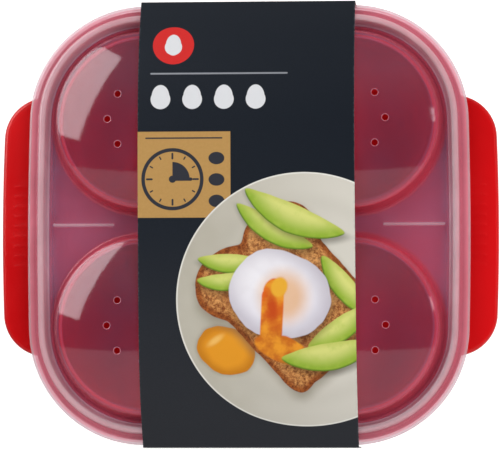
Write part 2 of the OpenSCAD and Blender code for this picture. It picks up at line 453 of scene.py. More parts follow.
class Graph:
    """The nodes of a material or of the world. Each call builds some and gives an output socket."""

    def __init__(self, owner):
        self.owner = owner
        owner.use_nodes = True
        self.tree = owner.node_tree
        self.tree.nodes.clear()

    def node(self, kind, inputs, output=0, **settings):
        """Makes a node with these settings and these inputs, given by name or by number."""
        made = self.tree.nodes.new(kind)
        for name, value in settings.items():
            setattr(made, name, value)
        for key, value in inputs.items():
            self.put(made.inputs[key], value)
        return made.outputs[output]

    def put(self, socket, value):
        if isinstance(value, bpy.types.NodeSocket):
            self.tree.links.new(value, socket)
        elif isinstance(value, tuple) and len(value) == 3 and socket.type == "RGBA":
            socket.default_value = (*value, 1)
        elif value is not None:
            socket.default_value = value

    def math(self, operation, *values, clamp=False):
        inputs = dict(enumerate(values))
        return self.node("ShaderNodeMath", inputs, operation=operation, use_clamp=clamp)

    def vector(self, operation, *values, scale=None):
        inputs = dict(enumerate(values))
        if scale is not None:
            inputs["Scale"] = scale
        output = "Value" if operation == "LENGTH" else "Vector"
        return self.node("ShaderNodeVectorMath", inputs, output, operation=operation)

    def split(self, value):
        """The X, the Y and the Z of a place."""
        made = self.tree.nodes.new("ShaderNodeSeparateXYZ")
        self.put(made.inputs[0], value)
        return tuple(made.outputs)

    def mix(self, share, a, b, blend="MIX"):
        inputs = {0: share, 6: a, 7: b}
        return self.node("ShaderNodeMix", inputs, 2, data_type="RGBA", blend_type=blend)

    def step(self, value, low, high, out_low=0.0, out_high=1.0, smooth=True):
        """value's way from low to high, as a smooth step from out_low to out_high."""
        inputs = dict(enumerate((value, low, high, out_low, out_high)))
        kind = "SMOOTHSTEP" if smooth else "LINEAR"
        return self.node("ShaderNodeMapRange", inputs, interpolation_type=kind)

    def noise(self, at, scale, detail=2.0, roughness=0.5, distortion=0.0, output="Fac"):
        inputs = {"Vector": at, "Scale": scale, "Detail": detail, "Roughness": roughness,
                  "Distortion": distortion}
        return self.node("ShaderNodeTexNoise", inputs, output)

    def place(self, kind="Object"):
        """A place on the piece, in metres, or for the world a direction."""
        return self.node("ShaderNodeTexCoord", {}, kind)

    def attribute(self, name, output="Fac"):
        return self.node("ShaderNodeAttribute", {}, output, attribute_name=name)

    def bump(self, height, strength, distance):
        inputs = {"Height": height, "Strength": strength, "Distance": distance}
        return self.node("ShaderNodeBump", inputs, "Normal")

    def shader(self, kind, **inputs):
        return self.node(kind, {name.replace("_", " "): value for name, value in inputs.items()})

    def mix_shader(self, share, a, b):
        return self.node("ShaderNodeMixShader", {0: share, 1: a, 2: b})

    def finish(self, surface, output="ShaderNodeOutputMaterial"):
        made = self.tree.nodes.new(output)
        self.tree.links.new(surface, made.inputs["Surface"])
        return self.owner


def material_graph(name):
    return Graph(bpy.data.materials.new(name))


def srgb(r, g, b):
    """A screen colour, from 0 to 255, as linear light."""
    values = (c / 255 for c in (r, g, b))
    return tuple(c / 12.92 if c <= 0.04045 else ((c + 0.055) / 1.055) ** 2.4 for c in values)


def red_plastic(name, colour, roughness):
    """Moulded polypropylene: an even red with slow drift, flow clouds and a fine moulded skin."""
    g = material_graph(name)
    at = g.place()
    drift = g.noise(at, 14, 3)
    flow = g.noise(at, 60, 4, 0.6, 1.5)
    darker = tuple(0.86 * c for c in colour)
    lighter = (min(1, colour[0] * 1.07), colour[1] * 1.5 + 0.001, colour[2] * 1.4 + 0.001)
    base = g.mix(g.step(drift, 0.3, 0.7), darker, lighter)
    base = g.mix(g.step(flow, 0.35, 0.75, 0, 0.25), base, colour)
    rough = g.step(flow, 0.2, 0.8, roughness - 0.05, roughness + 0.07, smooth=False)
    skin = g.noise(at, 1400, 2)
    wave = g.noise(at, 90, 1)
    relief = g.bump(g.math("ADD", skin, g.math("MULTIPLY", wave, 3.0)), 0.12, 0.00006)
    return g.finish(g.shader(
        "ShaderNodeBsdfPrincipled", Base_Color=base, Roughness=rough, Normal=relief, IOR=1.49,
        Specular_IOR_Level=0.28, Subsurface_Weight=0.03, Subsurface_Scale=0.002))


def frosted_plastic():
    """Natural polypropylene: clear with a milky haze, and a gloss on its outer faces."""
    g = material_graph("frosted_polypropylene")
    at = g.place()
    cloud = g.noise(at, 38, 4, 0.55, 0.6)
    fine = g.noise(at, 700, 2)
    milk = g.attribute("milk")
    haze = g.math("MULTIPLY", milk, g.step(cloud, 0.25, 0.75, 0.88, 1.12, smooth=False), clamp=True)
    tint = g.mix(g.step(cloud, 0.3, 0.7), (0.92, 0.92, 0.92), (1.0, 1.0, 1.0))
    # the tint attribute brings in each face's look: painted red glow and painted highlights along
    # with the plastic's own blue-white
    tint = g.mix(1.0, g.attribute("tint", "Vector"), tint, "MULTIPLY")
    rough = g.step(fine, 0.3, 0.7, 0.42, 0.5, smooth=False)
    milky = g.shader("ShaderNodeBsdfPrincipled", Base_Color=tint, Roughness=rough,
                     Specular_IOR_Level=0.0, Subsurface_Weight=0.0)
    glow = g.shader("ShaderNodeBsdfTranslucent", Color=tint)
    body = g.mix_shader(0.15, milky, glow)
    clear = g.shader("ShaderNodeBsdfTransparent", Color=(0.97, 0.95, 0.97))
    sheet = g.mix_shader(haze, clear, body)
    edge = g.math("POWER", g.node("ShaderNodeLayerWeight", {"Blend": 0.5}, "Facing"), 5.0)
    front = g.math("SUBTRACT", 1.0, g.node("ShaderNodeNewGeometry", {}, "Backfacing"))
    grazing = g.step(milk, 0.13, 0.3, 0.28, 0.10)
    shine = g.math("MULTIPLY", g.math("MULTIPLY_ADD", edge, grazing, 0.045), front)
    relief = g.bump(g.noise(at, 60, 2), 0.15, 0.00004)
    gloss = g.shader("ShaderNodeBsdfGlossy", Color=(1.0, 0.95, 0.98),
                     Roughness=g.step(milk, 0.13, 0.3, 0.07, 0.3), Normal=relief)
    return g.finish(g.mix_shader(shine, sheet, gloss))


# ---- base ----

def handle_outline(inset, side):
    """A handle seen from above, shrunk by an inset along its free edges, on the side +1 or -1."""
    r = HANDLE_R - inset
    reach = HANDLE_REACH - HANDLE_BOW - inset
    half = HANDLE_HALF - inset
    turn_x, turn_y = reach - r, half - r
    root = outline_x(HANDLE_ROOT, half)

    def corner(y, start):
        turns = (start + math.pi / 2 * i / TAB_CORNER_STEPS for i in range(TAB_CORNER_STEPS))
        return [(turn_x + r * math.cos(a), y + r * math.sin(a)) for a in turns]

    root_ys = [half - 2 * half * i / ROOT_STEPS for i in range(ROOT_STEPS)]
    edge_ys = [turn_y * (2 * i / EDGE_STEPS - 1) for i in range(EDGE_STEPS)]
    points = [(outline_x(HANDLE_ROOT, y), y) for y in root_ys]
    points += [(root + (turn_x - root) * i / TAB_STEPS, -half) for i in range(TAB_STEPS)]
    points += corner(-turn_y, -math.pi / 2)
    points += [(reach + HANDLE_BOW * (1 - (y / turn_y) ** 2), y) for y in edge_ys]
    points += corner(turn_y, 0)
    points += [(turn_x + (root - turn_x) * i / TAB_STEPS, half) for i in range(TAB_STEPS)]
    return [(side * x, y) for x, y in points]


def grip_segments(side):
    """Middle lines of the low grip bars on a handle."""
    near, far = side * (GRIP_X - GRIP_L / 2), side * (GRIP_X + GRIP_L / 2)
    ys = (GRIP_PITCH * (i - (GRIP_BARS - 1) / 2) for i in range(GRIP_BARS))
    return [((near, y), (far, y)) for y in ys]


def handle_mesh(side):
    """A side handle: a flat tab with a rounded turned-down edge and a row of low grip bars."""
    m = Mesher()
    bars = grip_segments(side)
    bottom, under = HANDLE_TOP - EDGE_DEPTH, HANDLE_TOP - HANDLE_T

    def top(x, y):
        return HANDLE_TOP + sum(bump_rise(off_segment(x, y, *bar), GRIP_HALF_W, GRIP_RISE)
                                for bar in bars)

    def inside(x, y):
        return abs(x) > outline_x(HANDLE_ROOT, min(abs(y), HANDLE_HALF)) + NEAR

    edge = rounded([(3.4, HANDLE_TOP, 0, 0), (0, HANDLE_TOP, 1.5, 0), (0, bottom, 0.5, 0),
                    (EDGE_T, bottom, 0.5, 0), (EDGE_T, under, 0.6, 0), (4.2, under, 0, 0)])
    first, last = m.bridge([m.loop(handle_outline(inset, side), z) for inset, z, _ in edge])
    spread = [(side * x, y) for x in (88, 91, 99.5) for y in range(-44, 45, 4)
              if abs(x) < 99 or abs(y) < 36]
    m.fill([first], spread + bar_points(bars, GRIP_HALF_W, (0.35, 0.7, 1.0), 5), top, inside)
    grid = [(side * x, y) for x in (88, 92, 96) for y in range(-40, 41, 8)]
    m.fill([last], grid, under, inside)
    return m.mesh("handle_part")


def rib_mesh(side, y):
    """A gusset under a handle, from the wall to the tab."""
    bm = bmesh.new()
    top = HANDLE_TOP - HANDLE_T + RIB_TUCK
    tip = HANDLE_REACH - RIB_IN
    corners = [(HANDLE_ROOT - RIB_IN, top - RIB_DROP), (HANDLE_ROOT - RIB_TUCK, top), (tip, top),
               (tip, top - RIB_TIP)]
    sides = [[bm.verts.new((side * x * MM, (y + dy) * MM, z * MM)) for x, z in corners]
             for dy in (-RIB_T / 2, RIB_T / 2)]
    bm.faces.new(sides[0])
    bm.faces.new(reversed(sides[1]))
    for i in range(len(corners)):
        j = (i + 1) % len(corners)
        bm.faces.new((sides[0][j], sides[0][i], sides[1][i], sides[1][j]))
    return mesh_from(bm, "rib_part")


def base_shell():
    """The water base without its handles: floor, foot ring, wall, inner ledge and rim."""
    m = Mesher()
    upper = HALF - 4.6
    shoulder = WALL_REACH + 3
    start = FOOT_REACH - 4.5
    first, last = m.sweep(rounded([
        (start - 3, FOOT_H, 0, 0), (start + 1.5, FOOT_H, 0.4, 0), (start + 1.5, 0, 0.3, 0),
        (FOOT_REACH, 0, 0.6, 0), (WALL_REACH, SHOULDER_Z - 1.1, 1.2, 0),
        (shoulder, SHOULDER_Z, 0.6, 0), (upper, RIM_TOP - 1.8, 0.8, 0),
        (RIM_REACH - 0.9, RIM_TOP - 1.8, 0.3, 0), (RIM_REACH - 0.9, RIM_TOP - 3.2, 0.3, 0),
        (RIM_REACH, RIM_TOP - 3.2, 0.3, 0), (RIM_REACH, RIM_TOP, 0.5, 0),
        (upper - 1.8, RIM_TOP, 0.5, 0), (shoulder - 1.7, LEDGE_Z, 0.4, 0),
        (WALL_REACH - 1.5, LEDGE_Z, 0.4, 0), (FOOT_REACH - 1.4, FLOOR_Z, 2.2, 0),
        (start - 3, FLOOR_Z, 0, 0)]))
    grid = [(x, y) for x in range(-60, 61, 12) for y in range(-60, 61, 12)]
    m.fill([first], grid, FOOT_H, lambda x, y: True)
    m.fill([last], grid, FLOOR_Z, lambda x, y: True)
    return m.mesh("base_shell")


def make_base():
    others = [handle_mesh(side) for side in (-1, 1)]
    others += [rib_mesh(side, y) for side in (-1, 1) for y in (-RIB_Y, RIB_Y)]
    mesh = joined(base_shell(), others, "base_whole")
    material = red_plastic("base_red", (0.66, 0.003, 0.005), 0.22)
    finish_piece("water_base", mesh, "base", [material], sharp_deg=38)


# ---- cup tray ----

def in_any_cup(x, y, radius):
    return any(math.hypot(x - ax, y - ay) < radius for ax, ay in CUP_AXES)


def plate_points(reach, hole_r, pitch, clear):
    """A grid of points on a plate with four round holes, clear of its edges."""
    count = int(reach // pitch)
    corner_r = reach - CORNER_AT - BOW
    kept = []
    for i in range(-count, count + 1):
        for j in range(-count, count + 1):
            x, y = i * pitch, j * pitch
            over = max(0, abs(x) - CORNER_AT), max(0, abs(y) - CORNER_AT)
            if math.hypot(*over) < corner_r - clear and not in_any_cup(x, y, hole_r + clear):
                kept.append((x, y))
    return kept


def opening_outlines(grow):
    """The outlines of the steam openings in the deck, grown by a distance."""
    yield circle((0, 0), STEAM_R + grow, 48)
    for y in (-SLOT_Y, SLOT_Y):
        yield stadium((-SLOT_HALF, y), (SLOT_HALF, y), SLOT_W / 2 + grow)


def in_opening(x, y):
    in_slot = any(off_segment(x, y, (-SLOT_HALF, sy), (SLOT_HALF, sy)) < SLOT_W / 2 + OPENING_EDGE
                  for sy in (-SLOT_Y, SLOT_Y))
    return in_slot or math.hypot(x, y) < STEAM_R + OPENING_EDGE


def bowl_points(radius, start, first, steps):
    """Points (r, z, 0) down a cup's round face, from an angle below its centre."""
    turns = (start + (math.pi / 2 - start) * i / steps for i in range(first, steps))
    return [(radius * math.cos(a), BOWL_Z - radius * math.sin(a), 0) for a in turns]


def make_tray():
    m = Mesher()
    inner = TRAY_REACH - 1.6
    first, last = m.sweep(rounded([
        (inner - 0.5, DECK_Z, 0, 0), (inner + 0.6, DECK_Z, 0.15, 0), (inner + 0.6, SEAT_Z, 0.15, 0),
        (TRAY_REACH, SEAT_Z, 0.3, 0), (TRAY_REACH, TRAY_LIP_TOP, 0.6, 0),
        (inner, TRAY_LIP_TOP, 0.6, 0), (inner, DECK_TOP, 0.45, 0), (inner - 0.5, DECK_TOP, 0, 0)]))
    bead_z = CUP_RIM_TOP - BEAD_R
    bead_at = COLLAR_TOP_R - BEAD_R
    foot_r, outer_r = COLLAR_FOOT_R + COLLAR_LEAD, BOWL_R + TRAY_T
    bead = [(bead_at + BEAD_R * math.cos(a), bead_z + BEAD_R * math.sin(a), 0)
            for a in (math.pi * i / 8 for i in range(9))]
    upper = rounded([(foot_r, DECK_TOP, 0, 0), (COLLAR_FOOT_R - 0.3, DECK_TOP, 0.8, 0),
                     (COLLAR_TOP_R, bead_z - 0.3, 0, 0)])
    upper += bead + bowl_points(BOWL_R, math.asin((BOWL_Z - bead_z) / BOWL_R), 1, 26)
    groove = math.radians(14) + math.asin((BOWL_Z - bead_z) / outer_r)
    hull = bowl_points(outer_r, groove, 0, 22)
    lower = rounded([(foot_r, DECK_Z, 0, 0), (COLLAR_FOOT_R - TRAY_T, DECK_Z, 0.8, 0),
                     (COLLAR_TOP_R - TRAY_T, hull[0][1] + 1.2, 0.3, 0), (*hull[0][:2], 0, 0)])
    lower += hull[1:]
    edges_above, edges_below = [], []
    for axis in CUP_AXES:
        for line, r, edges in ((upper, BOWL_R, edges_above), (lower, outer_r, edges_below)):
            edge, bottom = m.turn(axis, line)
            m.cap(bottom, BOWL_Z - r)
            edges.append(edge)
    for wide, narrow in zip(opening_outlines(OPENING_CHAMFER), opening_outlines(0)):
        above, below = m.bridge([m.loop(wide, DECK_TOP), m.loop(narrow, DECK_TOP - 0.5),
                                 m.loop(narrow, DECK_Z + 0.5), m.loop(wide, DECK_Z)])
        edges_above.append(above)
        edges_below.append(below)
    grid = [p for p in plate_points(inner - 1.6, foot_r, 7.0, 1.5) if not in_opening(*p)]

    def on_deck(x, y):
        return not in_any_cup(x, y, foot_r * FLAT_OF - NEAR) and not in_opening(x, y)

    m.fill([last, *edges_above], grid, DECK_TOP, on_deck)
    m.fill([first, *edges_below], grid, DECK_Z, on_deck)
    material = red_plastic("tray_red", (0.64, 0.006, 0.010), 0.34)
    mesh = m.mesh("egg_cup_tray")
    finish_piece("egg_cup_tray", mesh, "cup_tray", [material], sharp_deg=50)


# ---- lid ----

def cap_height(axis, shift=0.0, drop=0.0):
    """Height of the sphere that a dome's cap lies on, or of one a shift inside it, less a drop."""
    r = CAP_R - shift
    return lambda x, y: CAP_Z + math.sqrt(r ** 2 - (x - axis[0]) ** 2 - (y - axis[1]) ** 2) - drop


def cap_patch(m, edges, axis):
    """The middle of a dome's cap, outside and inside, with its steam holes."""
    vents = circle(axis, VENT_PITCH_R, VENTS)
    rim_r, inner_r = VENT_R + VENT_EDGE[0][0], VENT_R + VENT_EDGE[-1][0]
    spread = [p for r, count in CAP_RINGS for p in circle(axis, r, count)
              if all(math.dist(p, vent) > rim_r + 0.5 for vent in vents)]
    spread.append(axis)
    ends = [m.bridge([m.loop(circle(vent, VENT_R + wider, VENT_STEPS),
                             cap_height(axis, face, drop), look)
                      for wider, face, drop, look in VENT_EDGE]) for vent in vents]

    def inside(radius):
        limit = radius * math.cos(math.pi / VENT_STEPS) - NEAR
        return lambda x, y: all(math.dist((x, y), vent) > limit for vent in vents)

    tops, bottoms = zip(*ends)
    m.fill([edges[0], *tops], spread, cap_height(axis), inside(rim_r), DOME)
    m.fill([edges[1], *bottoms], spread, cap_height(axis, LID_T), inside(inner_r), DOME)


def dome_profile(shift):
    """A dome's outer face, or the face a shift inside it, from its foot on the web to its cap."""
    foot_z, round_off, lead = WEB_TOP, 0.9, DOME_LEAD
    if shift:
        foot_z, round_off, lead = WEB_BOTTOM, 0.4, DOME_LEAD_INSIDE
    foot_r = DOME_FOOT_R - shift
    edge_r, edge_z = DOME_EDGE_R - shift, DOME_EDGE_Z - shift * 0.35
    cap_r = CAP_R - shift
    start_r = edge_r - 1.6
    start_z = CAP_Z + math.sqrt(cap_r ** 2 - start_r ** 2)
    # the dome walls take the painted red glow look
    line = rounded([
        (foot_r + lead, foot_z, 0, WEB), (foot_r, foot_z, round_off, WALL_RED_GLOW),
        (edge_r, edge_z, 1.0, WALL_RED_GLOW), (start_r, start_z, 0, DOME)])
    rings = [start_r + (PATCH_R - start_r) * i / 6 for i in range(1, 7)]
    return line + [(r, CAP_Z + math.sqrt(cap_r ** 2 - r ** 2), DOME) for r in rings]


def lid_normals(mesh):
    """Vertex normals, exact on the outer faces of the caps, so that they mirror lights cleanly."""
    normals = [v.vector.copy() for v in mesh.vertex_normals]
    for vert, normal in zip(mesh.vertices, normals):
        x, y, z = (c / MM for c in vert.co)
        ax, ay = math.copysign(CUP_AT, x), math.copysign(CUP_AT, y)
        from_centre = Vector((x - ax, y - ay, z - CAP_Z))
        on_cap = math.hypot(x - ax, y - ay) < DOME_EDGE_R - 1.7
        if on_cap and abs(from_centre.length - CAP_R) < 0.02:
            normal[:] = from_centre.normalized()
    mesh.normals_split_custom_set_from_vertices(normals)


def make_lid():
    m = Mesher()
    web_edge = RIDGE_IN - 0.9
    top_out, top_in = RIDGE_OUT - RIDGE_LEAN, RIDGE_IN + RIDGE_LEAN
    # painted light along this rim: red glow on the flange and the ridge's foot, and a lightened
    # pale pink on the ridge's inner wall and the web's edge
    first, last = m.sweep(rounded([
        (web_edge, WEB_BOTTOM, 0, WEB), (RIDGE_IN + 1.2, WEB_BOTTOM, 0.3, RIDGE),
        (RIDGE_IN + 1.9, RIDGE_TOP - LID_T, 0.1, RIDGE),
        (RIDGE_OUT - 1.8, RIDGE_TOP - LID_T, 0.1, RIDGE),
        (RIDGE_OUT - 1.2, FLANGE_Z - FLANGE_T, 0.3, FLANGE_RED_GLOW),
        (HALF - FLANGE_T, FLANGE_Z - FLANGE_T, 0.4, FLANGE_RED_GLOW),
        (HALF - FLANGE_T, SKIRT_Z, 0.3, SKIRT), (HALF, SKIRT_Z, 0.4, SKIRT),
        (HALF, FLANGE_Z, 0.9, SKIRT), (HALF - 1.1, FLANGE_Z, 0, FLANGE_RED_GLOW),
        (RIDGE_OUT, FLANGE_Z, 0.7, RIDGE_FOOT_RED_GLOW), (top_out, RIDGE_TOP, 1.0, RIDGE),
        (top_in, RIDGE_TOP, 1.0, RIDGE), (top_in - 0.1, RIDGE_TOP - 1.2, 0, RIDGE_INSIDE_PAINTED_LIGHT),
        (RIDGE_IN, WEB_TOP, 0.8, RIDGE_INSIDE_PAINTED_LIGHT), (web_edge, WEB_TOP, 0, WEB_RIM_PAINTED_LIGHT)]))
    tops, bottoms = [], []
    for axis in CUP_AXES:
        outer_edge, outer_patch = m.turn(axis, dome_profile(0))
        inner_edge, inner_patch = m.turn(axis, dome_profile(LID_T))
        cap_patch(m, (outer_patch, inner_patch), axis)
        tops.append(outer_edge)
        bottoms.append(inner_edge)
    bars = [((side * BAR_X[0], 0), (side * BAR_X[1], 0)) for side in (-1, 1)]

    def bar_rise(x, y):
        return max(bump_rise(off_segment(x, y, *bar), BAR_HALF_W, BAR_RISE) for bar in bars)

    def web_height(x, y):
        return WEB_TOP + bar_rise(x, y)

    def web_look(x, y):
        # blends the web towards the bars' painted highlight by their rise
        share = bar_rise(x, y) / BAR_RISE
        tint = tuple(a + (b - a) * share for a, b in zip(WEB[1], BAR_HIGHLIGHT[1]))
        return WEB[0] + (BAR_HIGHLIGHT[0] - WEB[0]) * share, tint

    top_r, low_r = DOME_FOOT_R + DOME_LEAD, DOME_FOOT_R - LID_T + DOME_LEAD_INSIDE
    grid = plate_points(web_edge, top_r, 5.0, 1.2)
    spread = [p for p in grid if all(off_segment(*p, *bar) > BAR_HALF_W + 0.6 for bar in bars)]
    spread += bar_points(bars, BAR_HALF_W, (0.25, 0.5, 0.75, 1.0), 16)
    m.fill([last, *tops], spread, web_height,
           lambda x, y: not in_any_cup(x, y, top_r * FLAT_OF - NEAR), web_look)
    m.fill([first, *bottoms], grid, WEB_BOTTOM,
           lambda x, y: not in_any_cup(x, y, low_r * FLAT_OF - NEAR), WEB)
    mesh = m.mesh("frosted_lid")
    lid_normals(mesh)
    finish_piece("frosted_lid", mesh, "lid", [frosted_plastic()])


# ---- card sleeve ----

def sleeve_line():
    """The card's middle line seen from the side, as points (y, z), from front flap to back flap."""
    crest = DOME_TOP + SLEEVE_GAP + CARD_T / 2
    bend_r = CAP_R + SLEEVE_GAP + CARD_T / 2
    turn = math.asin(DOME_EDGE_R / CAP_R)
    half = [(CUP_AT * i / CREST_STEPS, crest) for i in range(CREST_STEPS)]
    half += [(CUP_AT + bend_r * math.sin(turn * i / BEND_STEPS),
              CAP_Z + bend_r * math.cos(turn * i / BEND_STEPS)) for i in range(BEND_STEPS)]
    end = (CUP_AT + bend_r * math.sin(turn), CAP_Z + bend_r * math.cos(turn))
    fold = rounded([(*end, 0, 0), (CARD_HANG, FOLD_Z, FOLD_R, 0), (CARD_HANG, sleeve_low.z, 0, 0)])
    half += [(y, z) for y, z, _ in fold]
    flap = half.pop()
    before = half[-1]
    half += [tuple(b + (f - b) * i / FLAP_STEPS for b, f in zip(before, flap))
             for i in range(1, FLAP_STEPS + 1)]
    return [(-y, z) for y, z in reversed(half[1:])] + half


def card_shift(run):
    """The card sits a little askew: how far it is shifted along X at this run along its line."""
    return CARD_ASKEW[0] + CARD_ASKEW[1] * run + CARD_ASKEW[2] * run ** 2


def make_sleeve():
    line = sleeve_line()
    runs = [0.0]
    for a, b in zip(line, line[1:]):
        runs.append(runs[-1] + math.dist(a, b))
    runs = [run - runs[-1] / 2 for run in runs]
    sides = []
    for before, after in zip(line[:1] + line, line[1:] + line[-1:]):
        along = Vector((after[0] - before[0], after[1] - before[1])).normalized()
        sides.append(Vector((-along.y, along.x)) * CARD_T / 2)
    bm = bmesh.new()
    at = bm.verts.layers.float_vector.new("print_at")
    grids = []
    for face in (1, -1):
        grid = []
        for (y, z), out, run in zip(line, sides, runs):
            row = []
            for i in range(CARD_COLUMNS + 1):
                x = sleeve_low.x + (sleeve_high.x - sleeve_low.x) * i / CARD_COLUMNS
                place = Vector((x + card_shift(run), y + face * out.x, z + face * out.y))
                vert = bm.verts.new(place * MM)
                vert[at] = (x, run, face)
                row.append(vert)
            grid.append(row)
        grids.append(grid)
    outer, inner = grids
    rows, columns = len(line), CARD_COLUMNS + 1
    inside, raw = 1, 2                 # places in the list of materials, after the print
    for i in range(rows - 1):
        for j in range(columns - 1):
            bm.faces.new((outer[i][j], outer[i][j + 1], outer[i + 1][j + 1], outer[i + 1][j]))
            back = bm.faces.new((inner[i][j], inner[i + 1][j], inner[i + 1][j + 1],
                                 inner[i][j + 1]))
            back.material_index = inside
    rim = [(i, 0) for i in range(rows - 1)] + [(rows - 1, j) for j in range(columns - 1)]
    rim += [(i, columns - 1) for i in range(rows - 1, 0, -1)]
    rim += [(0, j) for j in range(columns - 1, 0, -1)]
    for (a, b), (c, d) in zip(rim, rim[1:] + rim[:1]):
        edge = bm.faces.new((outer[a][b], outer[c][d], inner[c][d], inner[a][b]))
        edge.material_index = raw
    mesh = mesh_from(bm, "card_sleeve_print")
    materials = [printed_card(), card_board("card_inside", 0.62),
                 card_board("card_raw_edge", 0.5)]
    finish_piece("card_sleeve_print", mesh, "card_sleeve", materials, sharp_deg=40)


def card_board(name, lightness):
    """Unprinted board: a warm pale grey with fibres."""
    g = material_graph(name)
    at = g.place()
    fibre = g.noise(at, 900, 5, 0.7, 1.0)
    mottle = g.noise(at, 120, 3)
    light = (lightness, lightness * 0.98, lightness * 0.94)
    dark = tuple(0.78 * c for c in light)
    colour = g.mix(g.step(fibre, 0.3, 0.7), dark, light)
    colour = g.mix(g.step(mottle, 0.3, 0.8, 0, 0.3), colour, dark)
    relief = g.bump(fibre, 0.3, 0.00005)
    return g.finish(g.shader("ShaderNodeBsdfPrincipled", Base_Color=colour, Roughness=0.85,
                             Normal=relief))


class Print(Graph):
    """The sleeve's print, painted layer by layer. Places are millimetres from its middle."""

    def __init__(self, name):
        super().__init__(bpy.data.materials.new(name))
        self.at = self.attribute("print_at", "Vector")
        self.x, self.y, _ = self.split(self.at)
        self.colour = None

    def local(self, centre, angle=0.0, wobble=0.0, wobble_scale=0.08):
        """Places measured from a centre, turned back by an angle in degrees, and made uneven."""
        place = self.at
        if wobble:
            noise = self.noise(place, wobble_scale, output="Color")
            uneven = self.vector("SUBTRACT", noise, (0.5, 0.5, 0.5))
            place = self.vector("ADD", place, self.vector("SCALE", uneven, scale=wobble))
        place = self.vector("MULTIPLY", self.vector("SUBTRACT", place, (*centre, 0)), (1, 1, 0))
        if angle:
            inputs = {"Vector": place, "Angle": -math.radians(angle)}
            place = self.node("ShaderNodeVectorRotate", inputs, rotation_type="Z_AXIS")
        return place

    def ellipse(self, centre, radii, angle=0.0, wobble=0.0, wobble_scale=0.08):
        """Depth inside an ellipse, in about millimetres: positive inside."""
        small = min(radii)
        place = self.local(centre, angle, wobble, wobble_scale)
        shrunk = self.vector("MULTIPLY", place, (small / radii[0], small / radii[1], 0))
        return self.math("SUBTRACT", small, self.vector("LENGTH", shrunk))

    def box(self, centre, half, angle=0.0, radius=0.0, wobble=0.0):
        """Depth inside a rectangle with round corners."""
        place = self.vector("ABSOLUTE", self.local(centre, angle, wobble))
        out = self.vector("SUBTRACT", place, (half[0] - radius, half[1] - radius, 0))
        x, y, _ = self.split(out)
        sharp = self.math("MINIMUM", self.math("MAXIMUM", x, y), 0.0)
        corner = self.vector("LENGTH", self.vector("MAXIMUM", out, (0, 0, 0)))
        return self.math("SUBTRACT", radius, self.math("ADD", sharp, corner))

    def both(self, *depths):
        """Depth inside all of some shapes."""
        return functools.reduce(lambda a, b: self.math("MINIMUM", a, b), depths)

    def either(self, *depths):
        """Depth inside any of some shapes."""
        return functools.reduce(lambda a, b: self.math("MAXIMUM", a, b), depths)

    def ring(self, centre, radius, half_width):
        depth = self.ellipse(centre, (radius, radius))
        return self.math("SUBTRACT", half_width, self.math("ABSOLUTE", depth))

    def capsule(self, start, end, radius):
        """Depth inside a straight stroke with round ends."""
        length = math.dist(start, end)
        angle = math.degrees(math.atan2(end[1] - start[1], end[0] - start[0]))
        middle = ((start[0] + end[0]) / 2, (start[1] + end[1]) / 2)
        return self.box(middle, (length / 2 + radius, radius), angle, radius * 0.999)

    def mask(self, depth, soft=0.25):
        return self.step(depth, -soft / 2, soft / 2)

    def dapple(self, colour, other, scale, detail, low, high, most=1.0):
        """A colour, with another one laid over it where noise passes from low to high."""
        share = self.step(self.noise(self.at, scale, detail), low, high, 0, most)
        return self.mix(share, colour, other)

    def paint(self, share, colour):
        self.colour = self.mix(share, self.colour, colour)

    def shade(self, share, strength, tint=(0.0, 0.0, 0.0)):
        """Darkens what has been painted so far."""
        self.colour = self.mix(self.math("MULTIPLY", share, strength), self.colour, tint)


def paint_timer_panel(p):
    """A tan panel with a plain dial and three small eggs."""
    tan = p.mix(p.noise(p.at, 0.9, 3), srgb(176, 135, 76), srgb(188, 147, 87))
    p.paint(p.mask(p.box((-28, 19.4), (21.6, 17.9))), tan)
    x, y = centre = (-30.5, 17.5)

    def hand(degrees, near, far, half_width):
        """A stroke outwards from the dial's middle."""
        c, s = math.cos(math.radians(degrees)), math.sin(math.radians(degrees))
        return p.capsule((x + near * c, y + near * s), (x + far * c, y + far * s), half_width)

    quarter = p.both(p.ellipse(centre, (7.2, 7.2)), p.math("SUBTRACT", p.x, x),
                     p.math("SUBTRACT", p.y, y))
    ticks = [hand(30 * i, 9.6, 10.6, 0.28) if i % 3 else hand(30 * i, 8.6, 10.6, 0.4)
             for i in range(12)]
    eggs = [p.ellipse((-12.2, 26.2 - 8.9 * i), (3.3, 2.6)) for i in range(3)]
    rule = p.capsule((-41.5, 34.6), (-10.0, 34.6), 0.3)
    ink = p.either(p.ring(centre, 12.2, 0.75), *ticks, quarter, hand(0, 0, 7.6, 0.7),
                   p.ellipse(centre, (1.5, 1.5)), *eggs, rule)
    p.paint(p.mask(ink), srgb(44, 46, 54))


def paint_heading(p):
    """A red disc with an egg, a row of four plain eggs, and a thin rule."""
    def egg(x, y, low_r, radii):
        return p.mask(p.either(p.ellipse((x, y), (low_r, low_r)), p.ellipse((x, y + 1), radii)))

    white = srgb(218, 219, 222)
    p.paint(p.mask(p.ellipse((-30.5, 74.5), (8.6, 8.6))), srgb(205, 36, 34))
    p.paint(egg(-30.5, 73.6, 3.6, (3.2, 4.8)), white)
    for i in range(4):
        p.paint(egg(-35.5 + 13.2 * i, 50.8, 4.1, (3.7, 5.1)), white)
    p.paint(p.mask(p.capsule((-39.5, 61.8), (17.0, 61.8), 0.35)), srgb(140, 143, 150))


